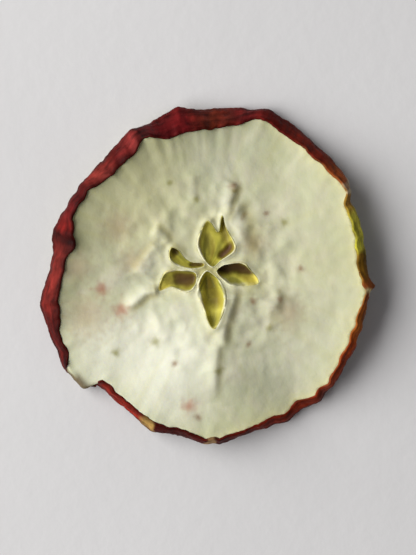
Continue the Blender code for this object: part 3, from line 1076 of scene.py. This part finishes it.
def crumple_tree(sizes):
    """Crumples a strip of peel along its normals and gives it its thickness."""
    tree = bpy.data.node_groups.new("crumple the peel", "GeometryNodeTree")
    tree.interface.new_socket("Geometry", in_out="INPUT", socket_type="NodeSocketGeometry")
    for label, value in sizes.items():
        socket = tree.interface.new_socket(label, in_out="INPUT", socket_type="NodeSocketFloat")
        socket.default_value = value
    tree.interface.new_socket("Material", in_out="INPUT", socket_type="NodeSocketMaterial")
    tree.interface.new_socket("Geometry", in_out="OUTPUT", socket_type="NodeSocketGeometry")
    source = add(tree, "NodeGroupInput").node.outputs
    along, across, free = (
        add(tree, "GeometryNodeInputNamedAttribute", {"Name": name}, "Attribute", data_type="FLOAT")
        for name in ("along", "across", "free")
    )
    flat = add(tree, "ShaderNodeCombineXYZ", {0: along, 1: across, 2: source["Seed"]})
    depth = 0.0
    for name, (_, _, stretch, shift) in CRUMPLES.items():
        spacing = source[name + " Spacing"]
        size = add(tree, "ShaderNodeCombineXYZ", {
            0: add(tree, "ShaderNodeMath", {0: 1 / stretch, 1: spacing}, operation="DIVIDE"),
            1: add(tree, "ShaderNodeMath", {0: 1.0, 1: spacing}, operation="DIVIDE"),
            2: 1.0,
        })
        scaled = add(tree, "ShaderNodeVectorMath", {0: flat, 1: size}, operation="MULTIPLY")
        moved = add(tree, "ShaderNodeVectorMath", {0: scaled, 1: (shift,) * 3}, operation="ADD")
        pattern = add(
            tree, "ShaderNodeTexNoise",
            {"Vector": moved, "Scale": 1.0, "Detail": 2.0, "Roughness": 0.5},
        )
        centred = add(tree, "ShaderNodeMath", {0: pattern, 1: 0.5}, operation="SUBTRACT")
        doubled = add(tree, "ShaderNodeMath", {0: centred, 1: 2.0}, operation="MULTIPLY")
        wave = add(
            tree, "ShaderNodeMath", {0: doubled, 1: source[name + " Depth"]}, operation="MULTIPLY"
        )
        depth = add(tree, "ShaderNodeMath", {0: depth, 1: wave}, operation="ADD")
    depth = add(tree, "ShaderNodeMath", {0: depth, 1: free}, operation="MULTIPLY")
    normal = add(tree, "GeometryNodeInputNormal")
    offset = add(tree, "ShaderNodeVectorMath", {0: normal, "Scale": depth}, operation="SCALE")
    outer = add(
        tree, "GeometryNodeSetPosition", {"Geometry": source["Geometry"], "Offset": offset}
    )
    kept = add(tree, "GeometryNodeCaptureAttribute", {"Geometry": outer}, domain="POINT").node
    kept.capture_items.new("VECTOR", "Normal")
    tree.links.new(normal, kept.inputs[1])
    thickness = source["Thickness"]
    inward = add(tree, "ShaderNodeMath", {0: thickness, 1: -1.0}, operation="MULTIPLY")
    back = add(
        tree, "ShaderNodeVectorMath", {0: kept.outputs[1], "Scale": inward}, operation="SCALE"
    )
    inner = add(tree, "GeometryNodeSetPosition", {"Geometry": kept.outputs[0], "Offset": back})
    walls = add(
        tree, "GeometryNodeExtrudeMesh",
        {"Mesh": inner, "Offset": kept.outputs[1], "Offset Scale": thickness, "Individual": False},
    ).node.outputs
    edged = add(
        tree, "GeometryNodeStoreNamedAttribute",
        {"Geometry": walls["Mesh"], "Selection": walls["Side"], "Name": "cut_edge", "Value": 1.0},
        data_type="FLOAT", domain="FACE",
    )
    turned = add(tree, "GeometryNodeFlipFaces", {"Mesh": inner})
    both = add(tree, "GeometryNodeJoinGeometry")
    for part in (edged, turned):
        tree.links.new(part, both.node.inputs[0])
    closed = add(tree, "GeometryNodeMergeByDistance", {"Geometry": both, "Distance": 1e-7})
    real = add(tree, "GeometryNodeRealizeInstances", {"Geometry": closed})
    dressed = add(
        tree, "GeometryNodeSetMaterial", {"Geometry": real, "Material": source["Material"]}
    )
    add(tree, "NodeGroupOutput", {"Geometry": dressed})
    return tree


def make_peel(material):
    sizes = {"Thickness": PEEL_THICKNESS * MM}
    for name, (depth, spacing, _, _) in CRUMPLES.items():
        sizes[name + " Depth"] = depth * MM
        sizes[name + " Spacing"] = spacing
    sizes["Seed"] = CRUMPLE_SEED
    peel = run_tree(make_peel_sheet(), crumple_tree(sizes), {**sizes, "Material": material})
    for vertex in peel.data.vertices:
        vertex.co.z = max(0.0, vertex.co.z)
    peel.data.shade_smooth()
    return peel


# ---------------------------------------------------------------------------------------
# Materials
# ---------------------------------------------------------------------------------------
def new_material(name, finish):
    material = bpy.data.materials.new(name)
    material.use_nodes = True
    shader = material.node_tree.nodes["Principled BSDF"]
    for label, value in finish.items():
        shader.inputs[label].default_value = value
    return material, material.node_tree, shader


def grain(tree, size_mm, detail=3.0, roughness=0.55):
    """Noise on object coordinates with grains of a real size, 0 to 1."""
    place = add(tree, "ShaderNodeTexCoord", out="Object")
    return add(tree, "ShaderNodeTexNoise", {
        "Vector": place, "Scale": 1000 / size_mm, "Detail": detail, "Roughness": roughness,
    })


def patches(tree, size_mm, detail, low, high, least=0.0, most=1.0):
    """Grain of a real size whose range from low to high is drawn out from least to most."""
    return add(tree, "ShaderNodeMapRange", {
        "Value": grain(tree, size_mm, detail),
        "From Min": low, "From Max": high, "To Min": least, "To Max": most,
    })


def stain(tree, colour, layers):
    """A ground colour under layers of tint, each with its own strength."""
    for strength, tint in layers:
        colour = add(
            tree, "ShaderNodeMix", {0: strength, 6: colour, 7: tint}, out=2, data_type="RGBA"
        )
    return colour


def carve(tree, shader, *layers):
    """Gives a surface its fine relief: size and depth in millimetres, detail and roughness."""
    relief = {}
    for size_mm, depth_mm, detail, roughness in layers:
        height = grain(tree, size_mm, detail, roughness)
        inputs = {"Height": height, "Distance": depth_mm * MM, "Strength": 1.0, **relief}
        relief = {"Normal": add(tree, "ShaderNodeBump", inputs)}
    tree.links.new(relief["Normal"], shader.inputs["Normal"])


# The flesh's tints over its ground, each laid where the mesh says: name, tint and strength.
# Some are painted light: the pale tint partly painted light, the yellow and rim tints partly
# painted shade, the thin edge's tint a painted glow, and the crease tint painted shade.
FLESH_TINTS = (
    ("pale_and_painted_light", "#F3F3E0", 0.85), ("yellowed_and_painted_shade", "#CFCB98", 0.6), ("rim", "#BFC28C", 0.4),
    ("thin", "#EFE6A8", 0.7), ("brown", "#B59A78", 0.5), ("pink", "#B4745A", 0.75),
    ("olive", "#8E8A3E", 0.75), ("rust", "#865A3A", 0.75), ("painted_crease_shade", "#AC9E50", 0.48),
    ("lip", "#EFECC8", 0.7), ("heart", "#B0A866", 0.8), ("edge", "#5E4828", 0.9),
)


def flesh_material():
    """Apple flesh, knife-cut and air-dried: matt and papery, its pores drawn up into crepe."""
    material, tree, shader = new_material("air-dried apple flesh", {
        "Roughness": 0.65, "IOR": 1.45, "Specular IOR Level": 0.4, "Subsurface Weight": 0.15,
        "Subsurface Radius": (1.0, 0.8, 0.4), "Subsurface Scale": 0.8 * MM,
    })
    broad = patches(tree, 9.0, 2.0, 0.35, 0.65)
    mottle = patches(tree, 3.0, 3.0, 0.4, 0.7, most=0.6)
    layers = [(broad, "#CBCDA8"), (mottle, "#DED7C2")]
    for name, tint, strength in FLESH_TINTS:
        place = add(tree, "ShaderNodeAttribute", out="Fac", attribute_name=name)
        shown = add(tree, "ShaderNodeMath", {0: place, 1: strength}, operation="MULTIPLY")
        layers.append((shown, tint))
    tree.links.new(stain(tree, "#D4D6B8", layers), shader.inputs["Base Color"])
    # The crepe and the pores are drawn coarser than a dried apple's own, so that they show.
    carve(tree, shader, (1.4, 0.07, 3.0, 0.5), (0.4, 0.015, 2.0, 0.5))
    return material


def peel_material():
    """Red apple peel, dried on the fruit: leathery and waxy, dark red with paler streaks."""
    material, tree, shader = new_material("dried red apple peel", {
        "Roughness": 0.5, "IOR": 1.45, "Specular IOR Level": 0.07,
    })
    along, across, red, green, blue, turn, cut_edge = (
        add(tree, "ShaderNodeAttribute", out="Fac", attribute_name=name)
        for name in ("along", "across", "red", "green", "blue", "turn", "cut_edge")
    )
    strip = add(tree, "ShaderNodeCombineXYZ", {0: along, 1: across})
    squeezed = add(tree, "ShaderNodeMapping", {"Vector": strip, "Scale": (0.25, 1.3, 1)})
    streaks = add(tree, "ShaderNodeTexNoise", {
        "Vector": squeezed, "Scale": 1.0, "Detail": 4.0, "Roughness": 0.6,
    })
    # The pale streaks are the skin's own and also serve as its painted highlights; the dark streaks
    # are its own.
    pale, dark = (
        add(tree, "ShaderNodeMapRange", {
            "Value": streaks, "From Min": start, "From Max": end, "To Min": 1.0, "To Max": most,
        })
        for start, end, most in ((0.52, 0.66, 1.6), (0.5, 0.36, 0.45))
    )
    shade = add(tree, "ShaderNodeMath", {0: pale, 1: dark}, operation="MULTIPLY")
    ground = add(tree, "ShaderNodeCombineColor", {0: red, 1: green, 2: blue})
    colour = add(
        tree, "ShaderNodeMix", {0: 1.0, 6: ground, 7: shade}, out=2, data_type="RGBA",
        blend_type="MULTIPLY",
    )
    # The cut edge shows the tan of the peel's inner side, worn through in patches.
    around = add(tree, "ShaderNodeMath", {0: turn, 1: 360.0}, operation="DIVIDE")
    tan = add(tree, "ShaderNodeValToRGB", {"Fac": around})
    set_stops(tan.node.color_ramp, (
        (0.0, "#94702A"), (0.05, "#7C762C"), (0.1, "#94602A"), (0.16, "#5A1A14"), (0.6, "#541612"),
        (0.84, "#5A1A10"), (0.89, "#94502A"), (0.96, "#A4662C"), (1.0, "#94702A"),
    ))
    worn = patches(tree, 2.0, 2.0, 0.4, 0.6, 0.1, 0.9)
    shown = add(tree, "ShaderNodeMath", {0: cut_edge, 1: worn}, operation="MULTIPLY")
    tree.links.new(stain(tree, colour, [(shown, tan)]), shader.inputs["Base Color"])
    carve(tree, shader, (0.6, 0.08, 3.0, 0.6))
    return material


def lining_material():
    """Carpel parchment, dried: thin and horny, cream at its lips and yellow-olive below, with painted
    shade in its depths.
    """
    material, tree, shader = new_material("dried carpel parchment", {
        "Roughness": 0.45, "IOR": 1.45, "Specular IOR Level": 0.2,
    })
    depth, tip, fibre, painted_deep_shade = (
        add(tree, "ShaderNodeAttribute", out="Fac", attribute_name=name)
        for name in ("depth", "tip", "fibre", "painted_deep_shade")
    )
    ragged = patches(tree, 0.9, 3.0, 0.3, 0.7, -0.08, 0.08)
    ragged_depth = add(tree, "ShaderNodeMath", {0: depth, 1: ragged}, operation="ADD")
    # Darker olive towards the floor: partly the parchment's own colour, partly painted shade.
    ground = add(tree, "ShaderNodeValToRGB", {"Fac": ragged_depth})
    set_stops(ground.node.color_ramp, (
        (0.0, "#ECEAC8"), (0.1, "#DEDA94"), (0.22, "#CEC85C"), (0.5, "#C0B94A"),
        (0.8, "#A79E3C"), (1.0, "#8A8030"),
    ))
    # The tips' yellow is partly painted light against the shade of the narrow walls.
    yellow = add(tree, "ShaderNodeMath", {0: tip, 1: 0.8}, operation="MULTIPLY")
    valleys, crests = (
        add(tree, "ShaderNodeMapRange", {
            "Value": fibre, "From Min": start, "From Max": end, "To Min": 0.0, "To Max": most,
        })
        for start, end, most in ((0.0, -0.4, 0.6), (0.1, 0.45, 0.35))
    )
    colour = stain(tree, ground, [
        (yellow, "#E2D662"), (valleys, "#6C6A2A"), (crests, "#A0822E"), (painted_deep_shade, "#503024"),
    ])
    tree.links.new(colour, shader.inputs["Base Color"])
    carve(tree, shader, (0.5, 0.05, 3.0, 0.6))
    return material


def floor_material():
    """Painted plaster board: pale, matt and faintly uneven."""
    material, tree, shader = new_material("matt painted board", {
        "Roughness": 0.85, "Specular IOR Level": 0.2,
    })
    colour = stain(tree, "#E6E5E5", [(patches(tree, 60.0, 2.0, 0.3, 0.7), "#E1E0E0")])
    tree.links.new(colour, shader.inputs["Base Color"])
    carve(tree, shader, (3.0, 0.06, 3.0, 0.55))
    return material


# ---------------------------------------------------------------------------------------
# Studio
# ---------------------------------------------------------------------------------------
IMAGE_WIDTH, IMAGE_HEIGHT = 416, 555
SLICE_SHARE_OF_WIDTH = 0.80
# Metres over the slice's middle, and off to its side.
CAMERA_HEIGHT = 0.48
CAMERA_LEAN = (-0.027, 0.046)
FLOOR_REACH = 3.0


def make_camera():
    low, high = CAD_BOX
    centre = (low + high) / 2
    data = bpy.data.cameras.new("camera")
    data.sensor_width = 36.0
    eye = centre + Vector((*CAMERA_LEAN, CAMERA_HEIGHT))
    distance = (eye - centre).length
    frame_width = (high.x - low.x) / SLICE_SHARE_OF_WIDTH
    frame_height = frame_width * IMAGE_HEIGHT / IMAGE_WIDTH
    data.lens = data.sensor_width * distance / frame_height
    data.clip_start, data.clip_end = 0.01, 10.0
    camera = bpy.data.objects.new("camera", data)
    back = (eye - centre).normalized()
    right = Vector((0, 1, 0)).cross(back).normalized()
    turn = Matrix((right, back.cross(right), back)).transposed()
    camera.matrix_world = Matrix.Translation(eye) @ turn.to_4x4()
    bpy.context.scene.collection.objects.link(camera)
    bpy.context.scene.camera = camera


def area_light(name, azimuth, elevation, distance, width, height, power, colour):
    """A soft box that looks at the slice from a direction in degrees."""
    data = bpy.data.lights.new(name, "AREA")
    data.shape = "RECTANGLE"
    data.size = width
    data.size_y = height
    data.energy = power
    data.color = linear(colour)[:3]
    light = bpy.data.objects.new(name, data)
    a, e = math.radians(azimuth), math.radians(elevation)
    place = Vector((math.cos(a) * math.cos(e), math.sin(a) * math.cos(e), math.sin(e)))
    light.location = place * distance
    light.rotation_euler = (-place).to_track_quat("-Z", "Y").to_euler()
    bpy.context.scene.collection.objects.link(light)


def make_studio():
    mesh = bpy.data.meshes.new("floor")
    signs = ((-1, -1), (1, -1), (1, 1), (-1, 1))
    corners = [(x * FLOOR_REACH, y * FLOOR_REACH, 0) for x, y in signs]
    mesh.from_pydata(corners, [], [(0, 1, 2, 3)])
    mesh.materials.append(floor_material())
    floor = bpy.data.objects.new("floor", mesh)
    bpy.context.scene.collection.objects.link(floor)
    area_light(
        "window", azimuth=172, elevation=37, distance=0.9, width=1.2, height=0.75, power=13.4,
        colour="#FFFEFD",
    )
    world = bpy.data.worlds.new("studio")
    world.use_nodes = True
    background = world.node_tree.nodes["Background"]
    background.inputs["Color"].default_value = linear("#EEEEF2")
    background.inputs["Strength"].default_value = 0.15
    bpy.context.scene.world = world
    bpy.context.scene.view_settings.view_transform = "Standard"


# ---------------------------------------------------------------------------------------
# Assembly
# ---------------------------------------------------------------------------------------
def dress(piece):
    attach(piece, BODY)
    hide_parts(NODE)


def main():
    make_camera()
    make_studio()
    flesh = make_flesh()
    flesh.data.materials.append(flesh_material())
    lining = make_lining()
    lining.data.materials.append(lining_material())
    peel = make_peel(peel_material())
    dress(flesh)
    dress(lining)
    dress(peel)


main()
